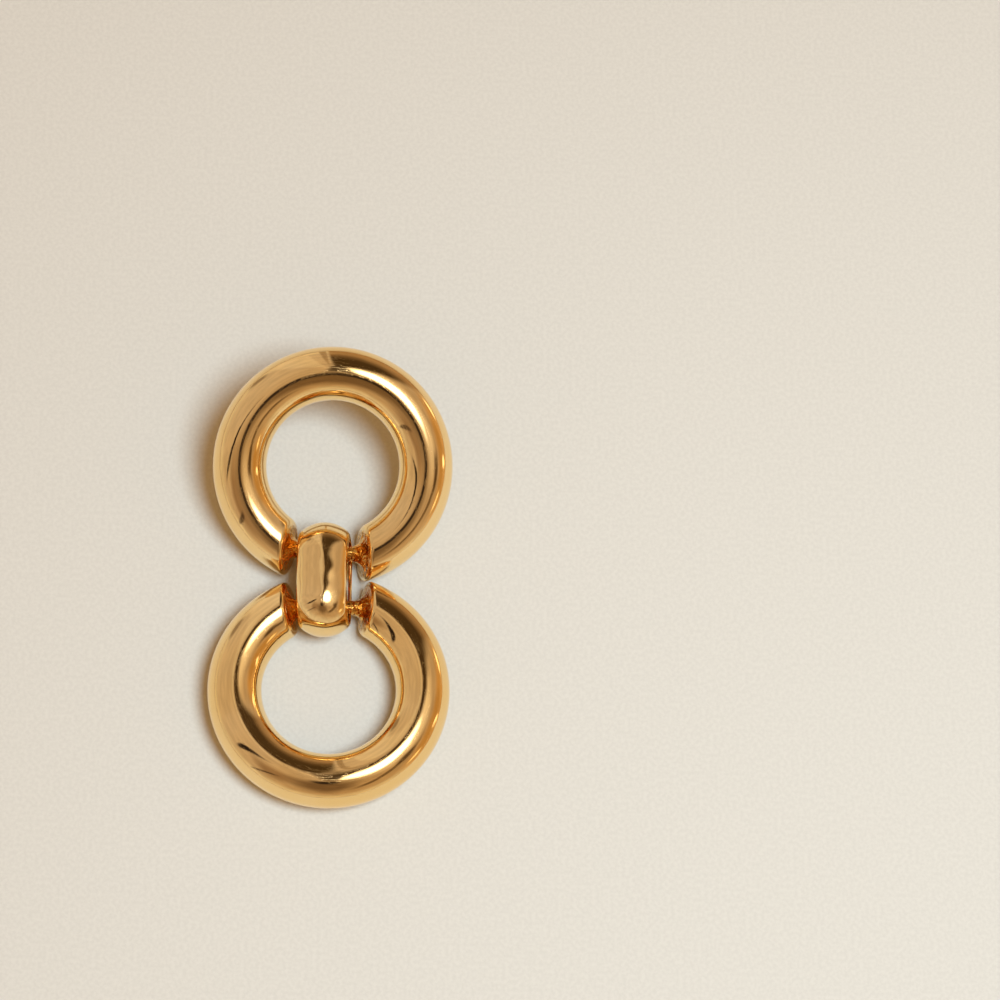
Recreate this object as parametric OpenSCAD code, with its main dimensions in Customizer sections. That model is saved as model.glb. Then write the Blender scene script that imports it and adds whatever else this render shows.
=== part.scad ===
// Hoop drop earring: two thick open hoops joined by a domed band link, lying face up.
// Millimetres. X across, Y along the earring with the worn end towards +Y, Z up from the surface.
// The lower hoop lies flat, and the ear post props up the far end of the upper hoop.

/* [Hoops] */
// Outer diameter of each hoop
hoop_od = 25; // [24:0.5:28]
// Diameter of the round tube that each hoop is bent from
tube_d = 5.6; // [5.4:0.1:5.7]
// Width of the gap in each hoop, at the middle of the tube
gap_w = 7.6; // [7.4:0.1:8]
// Angle at which each cut end leans back towards the hoop's front
end_lean = 16; // [0:1:18]
// Angle at which each cut end turns out towards the hoop's outside
end_turn = 6; // [2:1:8]

/* [Cross bars] */
// Diameter of the bar soldered across each gap
bar_d = 1.5; // [1.2:0.1:1.5]
// Distance between the two bars
bar_spacing = 6.1; // [6.05:0.05:6.15]
// How far a bar runs into the tube on each side
bar_embed = 1.2; // [0.8:0.1:1.6]

/* [Band link] */
// Length of the link along the earring
link_len = 12.2; // [12:0.1:12.4]
// Width of the band
link_w = 5.2; // [4.8:0.1:5.3]
// Depth of the link from front to back
link_depth = 7.6; // [7.4:0.1:7.8]
// Radius of the domed outside of the band, across its width
link_crown_r = 3.6; // [3.4:0.05:3.6]
// Length of the slot through the link
slot_len = 9; // [8.9:0.05:9.1]
// Height of the slot
slot_h = 2.8; // [2.7:0.05:2.85]
// How far the slot sits behind the middle of the link
slot_back = 0.85; // [0.8:0.05:0.9]

/* [Ear post] */
// Diameter of the post
post_d = 0.9; // [0.7:0.05:1]
// Diameter of the pad between the post and the hoop
pad_d = 2.4; // [1.6:0.1:3]
// Thickness of the pad behind the tube
pad_t = 0.5; // [0.3:0.1:0.8]
// Clearance between the pad and the tube
pad_gap = 0.05; // [0.03:0.01:0.1]

/* [Lying position] */
// Angle at which the post props up the upper hoop
prop_angle = 22; // [20:0.5:27]
// Angle through which the upper hoop is turned in its own plane
upper_turn = -3.5; // [-4:0.5:0]
// Angle through which the lower hoop is turned in its own plane
lower_turn = 1.5; // [0:0.5:2]
// Angle at which the link leans over to the left on the bars
link_roll = 7; // [0:1:7]
// Distance from the middle of the earring to the middle of the link, to the left
link_shift = 0.66; // [0.4:0.02:0.7]
// How far the link has slid down from the middle of the bars
link_slide = 0.3; // [0.1:0.05:0.3]
// Height left under a piece that only just meets the surface
rest_gap = 0.03; // [0.01:0.01:0.06]

/* [Hidden] */
$fn = 96;

gold = [0.83, 0.62, 0.33];
tube_r = tube_d / 2;
bar_r = bar_d / 2;
post_r = post_d / 2;
ring_r = hoop_od / 2 - tube_r;
bar_y = sqrt(pow(ring_r, 2) - pow(gap_w / 2, 2));
turn_r = link_depth / 2;
turn_y = link_len / 2 - turn_r;
slot_turn_y = slot_len / 2 - slot_h / 2;

// Slopes of the plane of a cut end, outwards for each millimetre up and for each millimetre out
lean_slope = tan(end_lean) / cos(end_turn);
turn_slope = tan(end_turn);

// Distance of the tube's skin from the middle of the hoop, at angle a round the tube
function skin_r(a) = ring_r + tube_r * cos(a);

// Angle round the hoop, from the middle of the gap to the cut end's rim, at angle a round the tube
function rim_angle(a) = end_turn + asin((gap_w / 2 + lean_slope * tube_r * sin(a) - turn_slope * bar_y)
    * cos(end_turn) / skin_r(a));

// How far the lowest point of the two rims lies below the middle of the tilted upper hoop
rim_drop = max([for (a = [270:2:360], side = [-1, 1])
    skin_r(a) * cos(rim_angle(a) + side * upper_turn) * sin(prop_angle)
    - tube_r * sin(a) * cos(prop_angle)]);

// Heights above the surface of the middle of each piece
lower_z = tube_r;
upper_z = rim_drop + rest_gap;
link_z = link_crown_r + (turn_r - link_crown_r) * cos(link_roll) + rest_gap;

// Depth of the middle of the post's round tip behind the middle of the upper hoop's tube
tip_depth = (upper_z + ring_r * cos(upper_turn) * sin(prop_angle) - post_r) / cos(prop_angle);

// Distances along the earring from the middle of the lower hoop
link_dy = bar_y * cos(lower_turn) + bar_spacing / 2 - link_slide;
upper_dy = bar_y * (cos(lower_turn) + cos(upper_turn) * cos(prop_angle)) + bar_spacing;
tip_dy = upper_dy + ring_r * cos(upper_turn) * cos(prop_angle) + tip_depth * sin(prop_angle);

// The origin is under the middle of the whole earring
lower_y = -(tip_dy + post_r - hoop_od / 2) / 2;

// Everything on the gap's side of one cut end
module end_cutter() {
    translate([gap_w / 2, -bar_y, 0]) rotate([0, atan(lean_slope * cos(end_turn)), end_turn])
        translate([-hoop_od, -hoop_od / 2, -hoop_od / 2]) cube([hoop_od, hoop_od / 2 + tube_d, hoop_od]);
}

// A hoop with its gap towards -Y and its front towards +Z
module hoop() {
    difference() {
        rotate_extrude() translate([ring_r, 0]) circle(r = tube_r);
        intersection() {
            end_cutter();
            mirror([1, 0, 0]) end_cutter();
        }
    }
    translate([0, -bar_y, 0]) rotate([0, 90, 0])
        cylinder(r = bar_r, h = gap_w + 2 * bar_embed, center = true);
}

// Places its children at the middle of the upper hoop, tilted as the post props it up
module on_upper_hoop() {
    translate([0, lower_y + upper_dy, upper_z]) rotate([prop_angle, 0, 0]) rotate([0, 0, upper_turn])
        children();
}

// Half of the band's outline across its width: X is the distance from the middle of the link
module band_section() {
    intersection() {
        translate([turn_r - link_crown_r, 0]) circle(r = link_crown_r);
        translate([0, -link_w / 2]) square([turn_r, link_w]);
    }
}

// One rounded end of the link, turned about the X axis
module link_turn() {
    rotate([0, 90, 0]) rotate_extrude() band_section();
}

// The straight stretch between the two rounded ends, front and back
module link_straight() {
    rotate([90, 0, 0]) linear_extrude(height = 2 * turn_y, center = true)
        for (side = [-1, 1])
            rotate([0, 0, side * 90]) band_section();
}

module link_slot() {
    translate([0, 0, -slot_back]) {
        for (side = [-1, 1])
            translate([0, side * slot_turn_y, 0]) rotate([0, 90, 0])
                cylinder(r = slot_h / 2, h = 2 * link_w, center = true);
        cube([2 * link_w, 2 * slot_turn_y, slot_h], center = true);
    }
}

module upper_hoop() {
    color(gold) on_upper_hoop() hoop();
}

module lower_hoop() {
    color(gold) translate([0, lower_y, lower_z]) rotate([0, 0, 180 + lower_turn]) hoop();
}

module band_link() {
    color(gold) translate([-link_shift, lower_y + link_dy, link_z]) rotate([0, -link_roll, 0])
        difference() {
            union() {
                for (side = [-1, 1])
                    translate([0, side * turn_y, 0]) link_turn();
                link_straight();
            }
            link_slot();
        }
}

module ear_post() {
    color(gold) on_upper_hoop() difference() {
        translate([0, ring_r, 0]) {
            translate([0, 0, -tube_r - pad_t]) cylinder(r = pad_d / 2, h = 2 * pad_t);
            translate([0, 0, -tip_depth]) cylinder(r = post_r, h = tip_depth - tube_r);
            translate([0, 0, -tip_depth]) sphere(r = post_r);
        }
        rotate_extrude() translate([ring_r, 0]) circle(r = tube_r + pad_gap);
    }
}

upper_hoop();
lower_hoop();
band_link();
ear_post();
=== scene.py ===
import math

import bpy
from mathutils import Matrix, Vector


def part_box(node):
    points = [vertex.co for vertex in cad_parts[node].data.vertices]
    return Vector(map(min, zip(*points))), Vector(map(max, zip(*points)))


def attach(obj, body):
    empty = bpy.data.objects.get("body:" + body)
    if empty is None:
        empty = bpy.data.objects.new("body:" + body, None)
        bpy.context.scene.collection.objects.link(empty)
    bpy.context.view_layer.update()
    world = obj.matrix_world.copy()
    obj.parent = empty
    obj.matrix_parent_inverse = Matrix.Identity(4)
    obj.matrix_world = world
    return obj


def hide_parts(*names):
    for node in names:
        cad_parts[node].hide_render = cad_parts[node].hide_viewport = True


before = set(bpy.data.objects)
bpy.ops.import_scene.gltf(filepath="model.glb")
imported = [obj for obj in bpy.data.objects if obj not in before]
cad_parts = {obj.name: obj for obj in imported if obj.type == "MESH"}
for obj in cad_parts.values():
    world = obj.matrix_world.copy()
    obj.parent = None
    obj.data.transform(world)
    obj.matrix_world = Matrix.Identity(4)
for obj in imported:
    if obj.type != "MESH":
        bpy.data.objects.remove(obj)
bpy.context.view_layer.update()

MM = 0.001
FRAME_PIXELS = 1000
SENSOR_MM = 36.0
MAX_BOUNCES = 12
GLOSSY_BOUNCES = 8

# Camera, fitted to the outlines of both hoops
CAMERA_AT_MM = (-0.029, -132.027, 398.334)
CAMERA_PITCH = 70.214
CAMERA_YAW = -7.122
CAMERA_ROLL = 7.792
CAMERA_FOCAL_PIXELS = 4000
CAMERA_CLIP = (0.01, 20.0)

# Hoops, in millimetres and degrees, as in the solids
RING_R = 9.7
TUBE_R = 2.8
GAP_HALF = 3.8
END_LEAN = 16
END_TURN = 6
BAR_R = 0.75
PROP_ANGLE = 22
UPPER_TURN = -3.5
LOWER_TURN = 1.5

# Band link
LINK_DEPTH = 7.6
LINK_W = 5.2
CROWN_R = 3.6
SLOT_LEN = 9
SLOT_H = 2.8
SLOT_BACK = 0.85
LINK_ROLL = 7

# Softened edges: the rim of a cut end, the solder round a bar and the edges of the band. The band's are never
# wider than a share of its side. Where a softened edge meets a flat face, two rings lie SUPPORT apart.
RIM_SOFT = 0.45
SOLDER_R = 1.5
BAND_SOFT = 0.3
BAND_SOFT_SHARE = 0.4
SUPPORT = 0.03

# Steps of the skins
SOFT_STEPS = 8
TUBE_STEPS = 144
HOOP_STEPS = 330
BAND_STEPS = 36
TURN_STEPS = 48
STRAIGHT_STEPS = 10

# Gold: colours, roughness, and depths of the surface's relief in metres
GOLD_PALE = (0.98, 0.71, 0.345, 1.0)
GOLD_DEEP = (0.95, 0.655, 0.28, 1.0)
# Painted shade and painted reflection: a darker amber for the cut ends, standing for the shade and the gold's
# own reflections in the narrow gap by the link
END_PAINTED_SHADE = (0.80, 0.45, 0.11, 1.0)
SMUDGE_ROUGHNESS = (0.02, 0.075)
SCRATCH_ROUGHNESS = 0.12
END_ROUGHNESS = 0.1
WAVE_DEPTH = 0.00003
LINK_WAVE_DEPTH = 0.00035
LINE_DEPTH = 0.000001
CRUMPLE_DEPTH = 0.0003

# Gold: how many of each mark there are in a metre, or along and round a piece that its lines follow
SMUDGE_SCALE = 330.0
WAVE_SCALE = 260.0
TONE_SCALE = 120.0
CRUMPLE_SCALE = 1500.0
LINE_SCALE = 9000.0
HAIR_SCALE = 700.0
PIECE_LINE_SCALE = 34.0
PIECE_HAIR_SCALE = 9.0
PIECE_LENGTH_SHARE = 2.0

# Gold: which values of a noise make its mark
TONE_SPAN = (0.3, 0.7)
SMUDGE_SPAN = (0.35, 0.75)
SCRATCH_HALF = 0.006
END_FADE = 0.75

# Floor: a pale cloth with a fine grain, in metres
FLOOR_HALF = 1.5
FLOOR_DARK = (0.593, 0.593, 0.560, 1)
FLOOR_LIGHT = (0.634, 0.634, 0.598, 1)
GRAIN_SCALE = 2600
GRAIN_SPAN = (0.3, 0.7)
GRAIN_DEPTH = 0.00006
GRAIN_STRENGTH = 0.5
FLOOR_ROUGHNESS = 0.85
FLOOR_SPECULAR = 0.2

# Key light: degrees from straight up and from +X towards +Y, metres and watts
KEY_ZENITH = 21.0
KEY_AZIMUTH = -36.0
KEY_DISTANCE = 0.40
KEY_SIZE = 0.165
KEY_POWER = 1.58
KEY_COLOUR = (0.75, 0.91, 1.0)


def add_camera():
    data = bpy.data.cameras.new("camera")
    data.sensor_width = SENSOR_MM
    data.lens = CAMERA_FOCAL_PIXELS / FRAME_PIXELS * SENSOR_MM
    data.clip_start, data.clip_end = CAMERA_CLIP
    camera = bpy.data.objects.new("camera", data)
    bpy.context.scene.collection.objects.link(camera)
    turn = (
        Matrix.Rotation(math.radians(CAMERA_YAW), 4, "Z")
        @ Matrix.Rotation(math.radians(90 - CAMERA_PITCH), 4, "X")
        @ Matrix.Rotation(math.radians(CAMERA_ROLL), 4, "Z")
    )
    place = Matrix.Translation([v * MM for v in CAMERA_AT_MM])
    camera.matrix_world = place @ turn
    bpy.context.scene.camera = camera


class Nodes:
    """A node tree with short calls for adding and joining nodes."""

    def __init__(self, tree):
        self.tree = tree
        tree.nodes.clear()

    def add(self, kind, **settings):
        node = self.tree.nodes.new(kind)
        for name, value in settings.items():
            setattr(node, name, value)
        return node

    def put(self, socket, value):
        if isinstance(value, bpy.types.NodeSocket):
            self.tree.links.new(value, socket)
        else:
            socket.default_value = value

    def math(self, operation, first, second=0.0, clamp=False):
        node = self.add("ShaderNodeMath", operation=operation, use_clamp=clamp)
        self.put(node.inputs[0], first)
        self.put(node.inputs[1], second)
        return node.outputs[0]

    def dot(self, first, second):
        node = self.add("ShaderNodeVectorMath", operation="DOT_PRODUCT")
        self.put(node.inputs[0], first)
        self.put(node.inputs[1], second)
        return node.outputs["Value"]

    def ramp(self, value, low, high):
        """0 at low, 1 at high, with a smooth step between; high may be below low."""
        node = self.add("ShaderNodeMapRange", interpolation_type="SMOOTHSTEP")
        self.put(node.inputs["Value"], value)
        if high < low:
            ends = (high, low, 1.0, 0.0)
        else:
            ends = (low, high, 0.0, 1.0)
        for name, end in zip(("From Min", "From Max", "To Min", "To Max"), ends):
            node.inputs[name].default_value = end
        return node.outputs[0]

    def mix(self, factor, first, second):
        node = self.add("ShaderNodeMix", data_type="RGBA")
        self.put(node.inputs[0], factor)
        self.put(node.inputs[6], first)
        self.put(node.inputs[7], second)
        return node.outputs[2]

    def scaled(self, colour, factor):
        node = self.add("ShaderNodeVectorMath", operation="SCALE")
        self.put(node.inputs[0], colour)
        node.inputs["Scale"].default_value = factor
        return node.outputs[0]

    def noise(self, where, scale, detail=2.0):
        node = self.add("ShaderNodeTexNoise")
        self.put(node.inputs["Vector"], where)
        node.inputs["Scale"].default_value = scale
        node.inputs["Detail"].default_value = detail
        return node.outputs["Fac"]


def sky_direction(zenith, azimuth):
    """Unit vector at so many degrees from straight up, azimuth from +X towards +Y."""
    z, a = math.radians(zenith), math.radians(azimuth)
    return Vector((math.sin(z) * math.cos(a), math.sin(z) * math.sin(a), math.cos(z)))


# The studio round the surface, as seen from the earring. Azimuths are degrees from +X towards +Y.
SKY_LEFT = (0.66, 0.54, 0.44, 1.0)
SKY_RIGHT = (0.54, 0.38, 0.24, 1.0)
SKY_RIGHT_AZIMUTH = -50
SKY_SPAN = (-0.9, 0.9)
HORIZON = (0.80, 0.71, 0.58, 1.0)
HORIZON_RISE = 0.34

# A card is seen only where a direction runs towards it by more than this
CARD_LEAST_DEPTH = 0.02

# Each row: zenith and azimuth of the card's middle, its half length along the meridian and half width across
# it as tangents, turn in degrees, softness of the edge, roundness power, colour, strength of cover
SKY_CARDS = [
    ("halo", 22, -6, 0.34, 0.34, 0, 1.4, 2, (1.15, 0.98, 0.80, 1), 0.8),
    ("low_left", 45, 228, 0.32, 0.20, 0, 1.3, 2, (0.30, 0.18, 0.10, 1), 0.8),
    ("door", 80, 134, 0.16, 0.09, 0, 0.9, 2, (0.16, 0.10, 0.06, 1), 0.7),
    ("dark_front", 42, -92, 0.42, 0.29, 0, 1.1, 2, (0.17, 0.10, 0.05, 1), 0.9),
    ("lens", 23, -92, 0.10, 0.09, 0, 0.9, 2, (0.03, 0.02, 0.015, 1), 0.95),
    ("amber_low", 84, 2, 0.50, 0.75, 0, 0.8, 2, (0.62, 0.31, 0.06, 1), 0.75),
    ("spark_a", 83, 30, 0.06, 0.10, 20, 1.0, 2, (2.4, 1.9, 1.2, 1), 0.9),
    ("spark_b", 80, -2, 0.09, 0.05, 30, 1.0, 2, (2.4, 1.9, 1.2, 1), 0.9),
    ("spark_c", 76, -26, 0.05, 0.10, -10, 1.0, 2, (1.8, 1.4, 0.8, 1), 0.8),
    ("stand_foot", 52, -44, 0.075, 0.42, 12, 0.9, 4, (0.12, 0.07, 0.03, 1), 0.85),
    ("stand_end", 49, -26, 0.13, 0.10, 0, 1.0, 2, (0.10, 0.06, 0.03, 1), 0.8),
    ("boom", 42, 201, 0.40, 0.045, 0, 0.7, 2, (0.03, 0.02, 0.015, 1), 1.0),
    ("boom_arm", 64, 224, 0.36, 0.025, -18, 0.8, 2, (0.05, 0.03, 0.02, 1), 0.8),
]

# Upright parts of the studio: azimuths of the two sides, softness of each, colour and strength of cover
SKY_SECTORS = [
    ("pane", 103, 127, 0.02, 0.06, (0.82, 0.70, 0.58, 1), 0.75),
    ("post", 94, 98, 0.015, 0.015, (0.36, 0.25, 0.16, 1), 0.8),
]
WALL_SECTOR = (37, 94, 0.15, 0.03)
WALL_HIGH = (0.075, 0.045, 0.02, 1.0)
WALL_LOW = (0.44, 0.28, 0.16, 1.0)
WALL_FADE = (79, 44)
SECTOR_TOP_FADE = (3, 14)

# Cards in front of all of these, in the same columns as SKY_CARDS
SKY_FRONT = [
    ("glow", 15, -12, 0.18, 0.18, 0, 1.2, 2, (6.0, 5.9, 5.7, 1), 1.0),
    ("frame", 1, 0, 0.04, 0.24, 0, 0.9, 4, (0.05, 0.03, 0.02, 1), 0.95),
]

# Folds in the studio's cloth, which darken a share of it
FOLD_SCALE = 5.0
FOLD_SPAN = (0.3, 0.7)
FOLD_COVER = 0.45
FOLD_SHADE = 0.6

# Soft light on the floor from the back and the front, and what the camera sees past the floor's edge
FILL_BACK = (0.36, 0.19, 0.07, 1.0)
FILL_FRONT = (0.73, 0.41, 0.17, 1.0)
FILL_FRONT_AZIMUTH = -80
FILL_SPAN = (-0.5, 0.5)
BACKDROP_SEEN = (0.76, 0.71, 0.63, 1.0)


def card_mask(n, where, zenith, azimuth, length, width, turn, soft, power):
    """1 inside a soft rounded card that faces the earring, and 0 outside."""
    out = sky_direction(zenith, azimuth)
    side = Vector((-math.sin(math.radians(azimuth)), math.cos(math.radians(azimuth)), 0))
    spin = Matrix.Rotation(math.radians(turn), 3, out)
    depth = n.dot(where, out)
    reach = 0.0
    for axis, half in ((spin @ side.cross(out), length), (spin @ side, width)):
        offset = n.math("ABSOLUTE", n.math("DIVIDE", n.dot(where, axis), depth))
        reach = n.math("ADD", n.math("POWER", n.math("DIVIDE", offset, half), power), reach)
    reach = n.math("POWER", reach, 1 / power)
    inside = n.ramp(reach, 1.0 + soft / 2, 1.0 - soft / 2)
    return n.math("MULTIPLY", inside, n.math("GREATER_THAN", depth, CARD_LEAST_DEPTH))


def cosines(degrees):
    return [math.cos(math.radians(angle)) for angle in degrees]


def sector_mask(n, where, azimuth_from, azimuth_to, soft_from, soft_to):
    """1 between the two azimuths, and 0 outside and right overhead."""
    first = n.ramp(n.dot(where, sky_direction(90, azimuth_from + 90)), 0.0, soft_from)
    second = n.ramp(n.dot(where, sky_direction(90, azimuth_to - 90)), 0.0, soft_to)
    up = n.dot(where, sky_direction(0, 0))
    below_top = n.ramp(up, *cosines(SECTOR_TOP_FADE))
    return n.math("MULTIPLY", n.math("MULTIPLY", first, second), below_top)


def wall_colour(n, where):
    """Dark high up on the wall, and lighter towards the floor."""
    up = n.dot(where, sky_direction(0, 0))
    return n.mix(n.ramp(up, *cosines(WALL_FADE)), WALL_LOW, WALL_HIGH)


def add_world():
    """The studio that the gold mirrors, a soft fill for the floor and a plain backdrop for the camera."""
    world = bpy.data.worlds.new("studio")
    bpy.context.scene.world = world
    world.use_nodes = True
    n = Nodes(world.node_tree)
    where = n.add("ShaderNodeTexCoord").outputs["Generated"]
    across = n.dot(where, sky_direction(90, SKY_RIGHT_AZIMUTH))
    colour = n.mix(n.ramp(across, *SKY_SPAN), SKY_LEFT, SKY_RIGHT)
    up = n.dot(where, sky_direction(0, 0))
    colour = n.mix(n.ramp(up, HORIZON_RISE, 0.0), colour, HORIZON)
    for name, *card, tint, cover in SKY_CARDS:
        colour = n.mix(n.math("MULTIPLY", card_mask(n, where, *card), cover), colour, tint)
    colour = n.mix(sector_mask(n, where, *WALL_SECTOR), colour, wall_colour(n, where))
    for name, *sector, tint, cover in SKY_SECTORS:
        colour = n.mix(n.math("MULTIPLY", sector_mask(n, where, *sector), cover), colour, tint)
    folds = n.ramp(n.noise(where, FOLD_SCALE, 3.0), *FOLD_SPAN)
    colour = n.mix(n.math("MULTIPLY", folds, FOLD_COVER), colour, n.scaled(colour, FOLD_SHADE))
    for name, *card, tint, cover in SKY_FRONT:
        colour = n.mix(n.math("MULTIPLY", card_mask(n, where, *card), cover), colour, tint)
    path = n.add("ShaderNodeLightPath")
    toward_front = n.dot(where, sky_direction(90, FILL_FRONT_AZIMUTH))
    fill = n.mix(n.ramp(toward_front, *FILL_SPAN), FILL_BACK, FILL_FRONT)
    colour = n.mix(path.outputs["Is Diffuse Ray"], colour, fill)
    light = n.add("ShaderNodeBackground")
    n.put(light.inputs["Color"], colour)
    plain = n.add("ShaderNodeBackground")
    n.put(plain.inputs["Color"], BACKDROP_SEEN)
    both = n.add("ShaderNodeMixShader")
    n.put(both.inputs[0], path.outputs["Is Camera Ray"])
    n.put(both.inputs[1], light.outputs[0])
    n.put(both.inputs[2], plain.outputs[0])
    n.put(n.add("ShaderNodeOutputWorld").inputs["Surface"], both.outputs[0])


def add_key():
    data = bpy.data.lights.new("key", "AREA")
    data.shape = "DISK"
    data.size = KEY_SIZE
    data.energy = KEY_POWER
    data.color = KEY_COLOUR
    light = bpy.data.objects.new("key", data)
    bpy.context.scene.collection.objects.link(light)
    light.visible_glossy = False
    out = sky_direction(KEY_ZENITH, KEY_AZIMUTH)
    facing = out.to_track_quat("Z", "Y").to_matrix().to_4x4()
    light.matrix_world = Matrix.Translation(out * KEY_DISTANCE) @ facing


def add_floor():
    mesh = bpy.data.meshes.new("floor")
    h = FLOOR_HALF
    mesh.from_pydata([(-h, -h, 0), (h, -h, 0), (h, h, 0), (-h, h, 0)], [], [(0, 1, 2, 3)])
    floor = bpy.data.objects.new("floor", mesh)
    bpy.context.scene.collection.objects.link(floor)
    material = bpy.data.materials.new("floor_cloth")
    material.use_nodes = True
    n = Nodes(material.node_tree)
    where = n.add("ShaderNodeTexCoord").outputs["Object"]
    grain = n.noise(where, GRAIN_SCALE, 3.0)
    tone = n.mix(n.ramp(grain, *GRAIN_SPAN), FLOOR_DARK, FLOOR_LIGHT)
    bsdf = n.add("ShaderNodeBsdfPrincipled")
    n.put(bsdf.inputs["Base Color"], tone)
    bsdf.inputs["Roughness"].default_value = FLOOR_ROUGHNESS
    bsdf.inputs["Specular IOR Level"].default_value = FLOOR_SPECULAR
    bump = n.add("ShaderNodeBump")
    bump.inputs["Distance"].default_value = GRAIN_DEPTH
    bump.inputs["Strength"].default_value = GRAIN_STRENGTH
    n.put(bump.inputs["Height"], grain)
    n.put(bsdf.inputs["Normal"], bump.outputs["Normal"])
    n.put(n.add("ShaderNodeOutputMaterial").inputs["Surface"], bsdf.outputs[0])
    mesh.materials.append(material)


def curve_between(start, corner, end, steps):
    """Points of a smooth curve from start to end that bends at corner, without its two ends."""
    points = []
    for step in range(1, steps):
        t = step / steps
        points.append(start * (1 - t) ** 2 + corner * (2 * t * (1 - t)) + end * t**2)
    return points


def toward(start, end, distance):
    return start + (end - start).normalized() * distance


def skin(tube_angle, hoop_angle):
    """A point of the tube's skin, with the hoop's angle taken from the middle of its gap at -Y."""
    reach = RING_R + TUBE_R * math.cos(tube_angle)
    height = TUBE_R * math.sin(tube_angle)
    return Vector((reach * math.sin(hoop_angle), -reach * math.cos(hoop_angle), height))


BAR_Y = math.sqrt(RING_R**2 - GAP_HALF**2)
LEAN_SLOPE = math.tan(math.radians(END_LEAN)) / math.cos(math.radians(END_TURN))
TURN_SLOPE = math.tan(math.radians(END_TURN))


def rim_angle(tube_angle):
    """The hoop's angle at which the plane of the cut end meets the skin."""
    reach = RING_R + TUBE_R * math.cos(tube_angle)
    across = GAP_HALF + LEAN_SLOPE * TUBE_R * math.sin(tube_angle) - TURN_SLOPE * BAR_Y
    return math.radians(END_TURN) + math.asin(across * math.cos(math.radians(END_TURN)) / reach)


def end_profile(tube_angle):
    """Points from the middle of the bar over its solder and the cut end to the skin just past the rim."""
    bar_out = Vector((0, -BAR_R * math.cos(tube_angle), BAR_R * math.sin(tube_angle)))
    middle = Vector((0, -BAR_Y, 0)) + bar_out
    across = GAP_HALF + LEAN_SLOPE * bar_out.z - TURN_SLOPE * bar_out.y
    joint = middle + Vector((across, 0, 0))
    rim = skin(tube_angle, rim_angle(tube_angle))
    reach = RING_R + TUBE_R * math.cos(tube_angle)
    solder_start = joint - Vector((SOLDER_R, 0, 0))
    solder_end = toward(joint, rim, SOLDER_R)
    soft_start = toward(rim, joint, RIM_SOFT)
    soft_end = skin(tube_angle, rim_angle(tube_angle) + RIM_SOFT / reach)
    return [
        middle,
        solder_start - Vector((SUPPORT, 0, 0)),
        solder_start,
        *curve_between(solder_start, joint, solder_end, SOFT_STEPS),
        solder_end,
        toward(solder_end, rim, SUPPORT),
        toward(soft_start, joint, SUPPORT),
        soft_start,
        *curve_between(soft_start, rim, soft_end, SOFT_STEPS),
        soft_end,
    ]


def hoop_rings():
    """Closed rings from the middle of the bar round the whole hoop and back to it."""
    strips = []
    for j in range(TUBE_STEPS):
        tube_angle = -math.pi / 2 - 2 * math.pi * j / TUBE_STEPS
        reach = RING_R + TUBE_R * math.cos(tube_angle)
        right = end_profile(tube_angle)
        left = [Vector((-p.x, p.y, p.z)) for p in right[:0:-1]]
        first = rim_angle(tube_angle) + (RIM_SOFT + SUPPORT) / reach
        sweep = 2 * math.pi - 2 * first
        skin_points = [skin(tube_angle, first + sweep * i / HOOP_STEPS) for i in range(HOOP_STEPS + 1)]
        strips.append(right + skin_points + left)
    return [[strip[i] for strip in strips] for i in range(len(strips[0]))]


def link_rings(length, depth):
    """Sections of the band, one after the other round the link, with the link's length along Y."""
    turn_r = depth / 2
    turn_y = length / 2 - turn_r
    slot_r = SLOT_H / 2
    slot_turn_y = SLOT_LEN / 2 - slot_r
    half_w = LINK_W / 2
    crown_back = turn_r - CROWN_R
    edge_angle = math.asin(half_w / CROWN_R)
    soft_angle = edge_angle - BAND_SOFT / CROWN_R
    stations = []
    for end in (1, -1):
        for i in range(TURN_STEPS + 1):
            angle = math.pi * i / TURN_STEPS
            stations.append((end, end, angle))
        for i in range(1, STRAIGHT_STEPS):
            stations.append((end * (1 - 2 * i / STRAIGHT_STEPS), end, math.pi))
    rings = []
    for place, end, angle in stations:
        out = Vector((0, end * math.sin(angle), end * math.cos(angle)))
        outer_middle = Vector((0, place * turn_y, 0))
        inner_wall = Vector((0, place * slot_turn_y, -SLOT_BACK)) + out * slot_r

        def crown(side_angle):
            height = crown_back + CROWN_R * math.cos(side_angle)
            return outer_middle + out * height + Vector((CROWN_R * math.sin(side_angle), 0, 0))

        crown_arc = [crown(soft_angle * (2 * i / BAND_STEPS - 1)) for i in range(BAND_STEPS + 1)]
        sides = []
        for side in (1, -1):
            corner = crown(side * edge_angle)
            inner_corner = inner_wall + Vector((side * half_w, 0, 0))
            face_depth = (corner - inner_corner).length
            soft = min(BAND_SOFT, face_depth * BAND_SOFT_SHARE)
            below = toward(corner, inner_corner, soft)
            above_slot = toward(inner_corner, corner, soft)
            in_slot = inner_wall + Vector((side * (half_w - soft), 0, 0))
            sides.append([
                *curve_between(crown(side * soft_angle), corner, below, SOFT_STEPS),
                below,
                above_slot,
                *curve_between(above_slot, inner_corner, in_slot, SOFT_STEPS),
                in_slot,
            ])
        rings.append(crown_arc + sides[0] + [inner_wall] + sides[1][::-1])
    return rings


def millimetres(node):
    low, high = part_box(node)
    return [v / MM for v in low], [v / MM for v in high]


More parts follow.
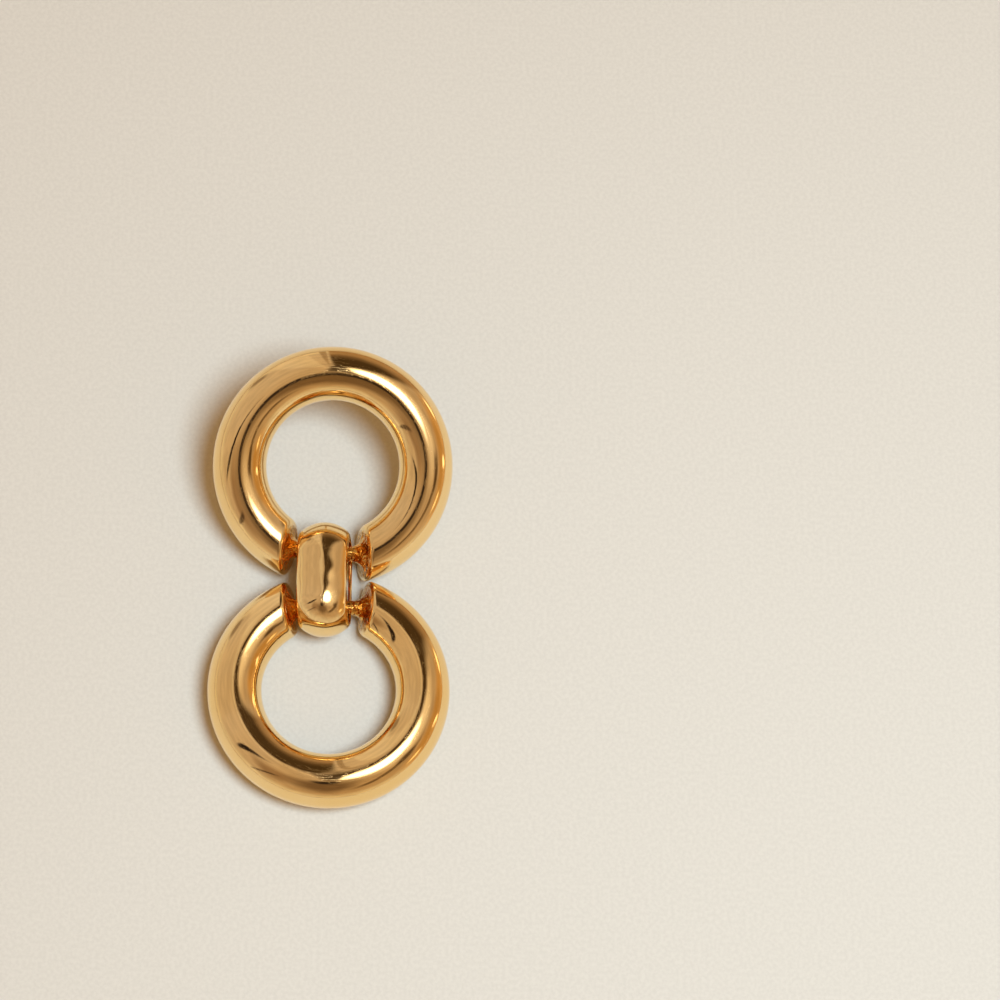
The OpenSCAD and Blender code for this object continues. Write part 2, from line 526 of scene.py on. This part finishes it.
def add_piece(node, rings, place, material):
    """A closed skin through rings that join end to end, standing for a node of the solids."""
    count = len(rings[0])
    points = [(place @ p) * MM for ring in rings for p in ring]
    faces = []
    uvs = []
    for i in range(len(rings)):
        here = i * count
        there = (i + 1) % len(rings) * count
        for j in range(count):
            k = (j + 1) % count
            faces.append((here + j, here + k, there + k, there + j))
            for along, around in ((i, j), (i, j + 1), (i + 1, j + 1), (i + 1, j)):
                uvs += [along / len(rings), around / count]
    mesh = bpy.data.meshes.new(node + "_skin")
    mesh.from_pydata(points, [], faces)
    mesh.uv_layers.new(name="along_and_around").data.foreach_set("uv", uvs)
    mesh.polygons.foreach_set("use_smooth", [True] * len(faces))
    mesh.materials.append(material)
    piece = bpy.data.objects.new(node + "_skin", mesh)
    bpy.context.scene.collection.objects.link(piece)
    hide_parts(node)
    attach(piece, "root")


def gold_material(name, lines_follow_piece, wave_depth=WAVE_DEPTH, end_share=0.0):
    """Polished gold with smudges, polishing lines, hair scratches and a slightly uneven surface.

    A share of a hoop's rings at each end is its soldered cut end, which is uneven and rougher, and whose
    colour is a darker amber that paints in the shade and the gold's reflections in the narrow gap by the
    link.
    """
    material = bpy.data.materials.new(name)
    material.use_nodes = True
    n = Nodes(material.node_tree)
    coordinates = n.add("ShaderNodeTexCoord")
    where = coordinates.outputs["Object"]
    if lines_follow_piece:
        split = n.add("ShaderNodeSeparateXYZ")
        n.put(split.inputs[0], coordinates.outputs["UV"])
        turn = n.math("MULTIPLY", split.outputs[1], 2 * math.pi)
        joined = n.add("ShaderNodeCombineXYZ")
        n.put(joined.inputs[0], n.math("MULTIPLY", split.outputs[0], PIECE_LENGTH_SHARE))
        n.put(joined.inputs[1], n.math("COSINE", turn))
        n.put(joined.inputs[2], n.math("SINE", turn))
        lines = n.noise(joined.outputs[0], PIECE_LINE_SCALE, 5.0)
        hair = n.noise(joined.outputs[0], PIECE_HAIR_SCALE, 2.0)
    else:
        lines = n.noise(where, LINE_SCALE, 3.0)
        hair = n.noise(where, HAIR_SCALE, 2.0)
    smudge = n.noise(where, SMUDGE_SCALE, 5.0)
    waves = n.noise(where, WAVE_SCALE, 1.0)
    tone = n.noise(where, TONE_SCALE, 3.0)
    scratch = n.ramp(n.math("ABSOLUTE", n.math("SUBTRACT", hair, 0.5)), SCRATCH_HALF, 0.0)
    colour = n.mix(n.ramp(tone, *TONE_SPAN), GOLD_PALE, GOLD_DEEP)
    relief = n.math("MULTIPLY", waves, wave_depth)
    end = None
    if end_share:
        along = split.outputs[0]
        from_end = n.math("MINIMUM", along, n.math("SUBTRACT", 1.0, along))
        end = n.ramp(from_end, end_share, end_share * END_FADE)
        # Painted shade and painted reflection: the cut ends are coloured a darker amber
        colour = n.mix(end, colour, END_PAINTED_SHADE)
        crumple = n.math("MULTIPLY", n.noise(where, CRUMPLE_SCALE, 2.0), CRUMPLE_DEPTH)
        relief = n.math("ADD", relief, n.math("MULTIPLY", crumple, end))
    bsdf = n.add("ShaderNodeBsdfPrincipled")
    n.put(bsdf.inputs["Base Color"], colour)
    bsdf.inputs["Metallic"].default_value = 1.0
    low, high = SMUDGE_ROUGHNESS
    rough = n.math("ADD", n.math("MULTIPLY", n.ramp(smudge, *SMUDGE_SPAN), high - low), low)
    rough = n.math("ADD", rough, n.math("MULTIPLY", scratch, SCRATCH_ROUGHNESS))
    if end:
        rough = n.math("ADD", rough, n.math("MULTIPLY", end, END_ROUGHNESS))
    n.put(bsdf.inputs["Roughness"], rough)
    wave_bump = n.add("ShaderNodeBump")
    wave_bump.inputs["Distance"].default_value = 1.0
    n.put(wave_bump.inputs["Height"], relief)
    line_bump = n.add("ShaderNodeBump")
    line_bump.inputs["Distance"].default_value = LINE_DEPTH
    n.put(line_bump.inputs["Height"], n.math("SUBTRACT", lines, scratch))
    n.put(line_bump.inputs["Normal"], wave_bump.outputs["Normal"])
    n.put(bsdf.inputs["Normal"], line_bump.outputs["Normal"])
    n.put(n.add("ShaderNodeOutputMaterial").inputs["Surface"], bsdf.outputs[0])
    return material


add_camera()
add_world()
add_key()
add_floor()

rings = hoop_rings()
end_share = (len(end_profile(0)) - SOFT_STEPS) / len(rings)
hoop_gold = gold_material("hoop_gold", lines_follow_piece=True, end_share=end_share)
link_gold = gold_material("link_gold", lines_follow_piece=True, wave_depth=LINK_WAVE_DEPTH)
post_gold = gold_material("post_gold", lines_follow_piece=False)
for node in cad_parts.values():
    for slot in node.material_slots:
        slot.material = post_gold

lower_low, _ = millimetres("lower_hoop")
_, upper_high = millimetres("upper_hoop")
link_low, link_high = millimetres("band_link")
lower_middle = (0, lower_low[1] + RING_R + TUBE_R, TUBE_R)
lower_turn = Matrix.Rotation(math.radians(180 + LOWER_TURN), 4, "Z")
lower_place = Matrix.Translation(lower_middle) @ lower_turn
tilt = math.radians(PROP_ANGLE)
upper_middle = (
    0,
    upper_high[1] - TUBE_R - RING_R * math.cos(tilt),
    upper_high[2] - TUBE_R - RING_R * math.sin(tilt),
)
upper_turn = Matrix.Rotation(tilt, 4, "X") @ Matrix.Rotation(math.radians(UPPER_TURN), 4, "Z")
upper_place = Matrix.Translation(upper_middle) @ upper_turn
link_middle = [(a + b) / 2 for a, b in zip(link_low, link_high)]
link_place = Matrix.Translation(link_middle) @ Matrix.Rotation(math.radians(-LINK_ROLL), 4, "Y")
add_piece("lower_hoop", rings, lower_place, hoop_gold)
add_piece("upper_hoop", rings, upper_place, hoop_gold)
add_piece("band_link", link_rings(link_high[1] - link_low[1], LINK_DEPTH), link_place, link_gold)

scene = bpy.context.scene
scene.view_settings.view_transform = "Standard"
scene.cycles.use_denoising = True
scene.cycles.max_bounces = MAX_BOUNCES
scene.cycles.glossy_bounces = GLOSSY_BOUNCES
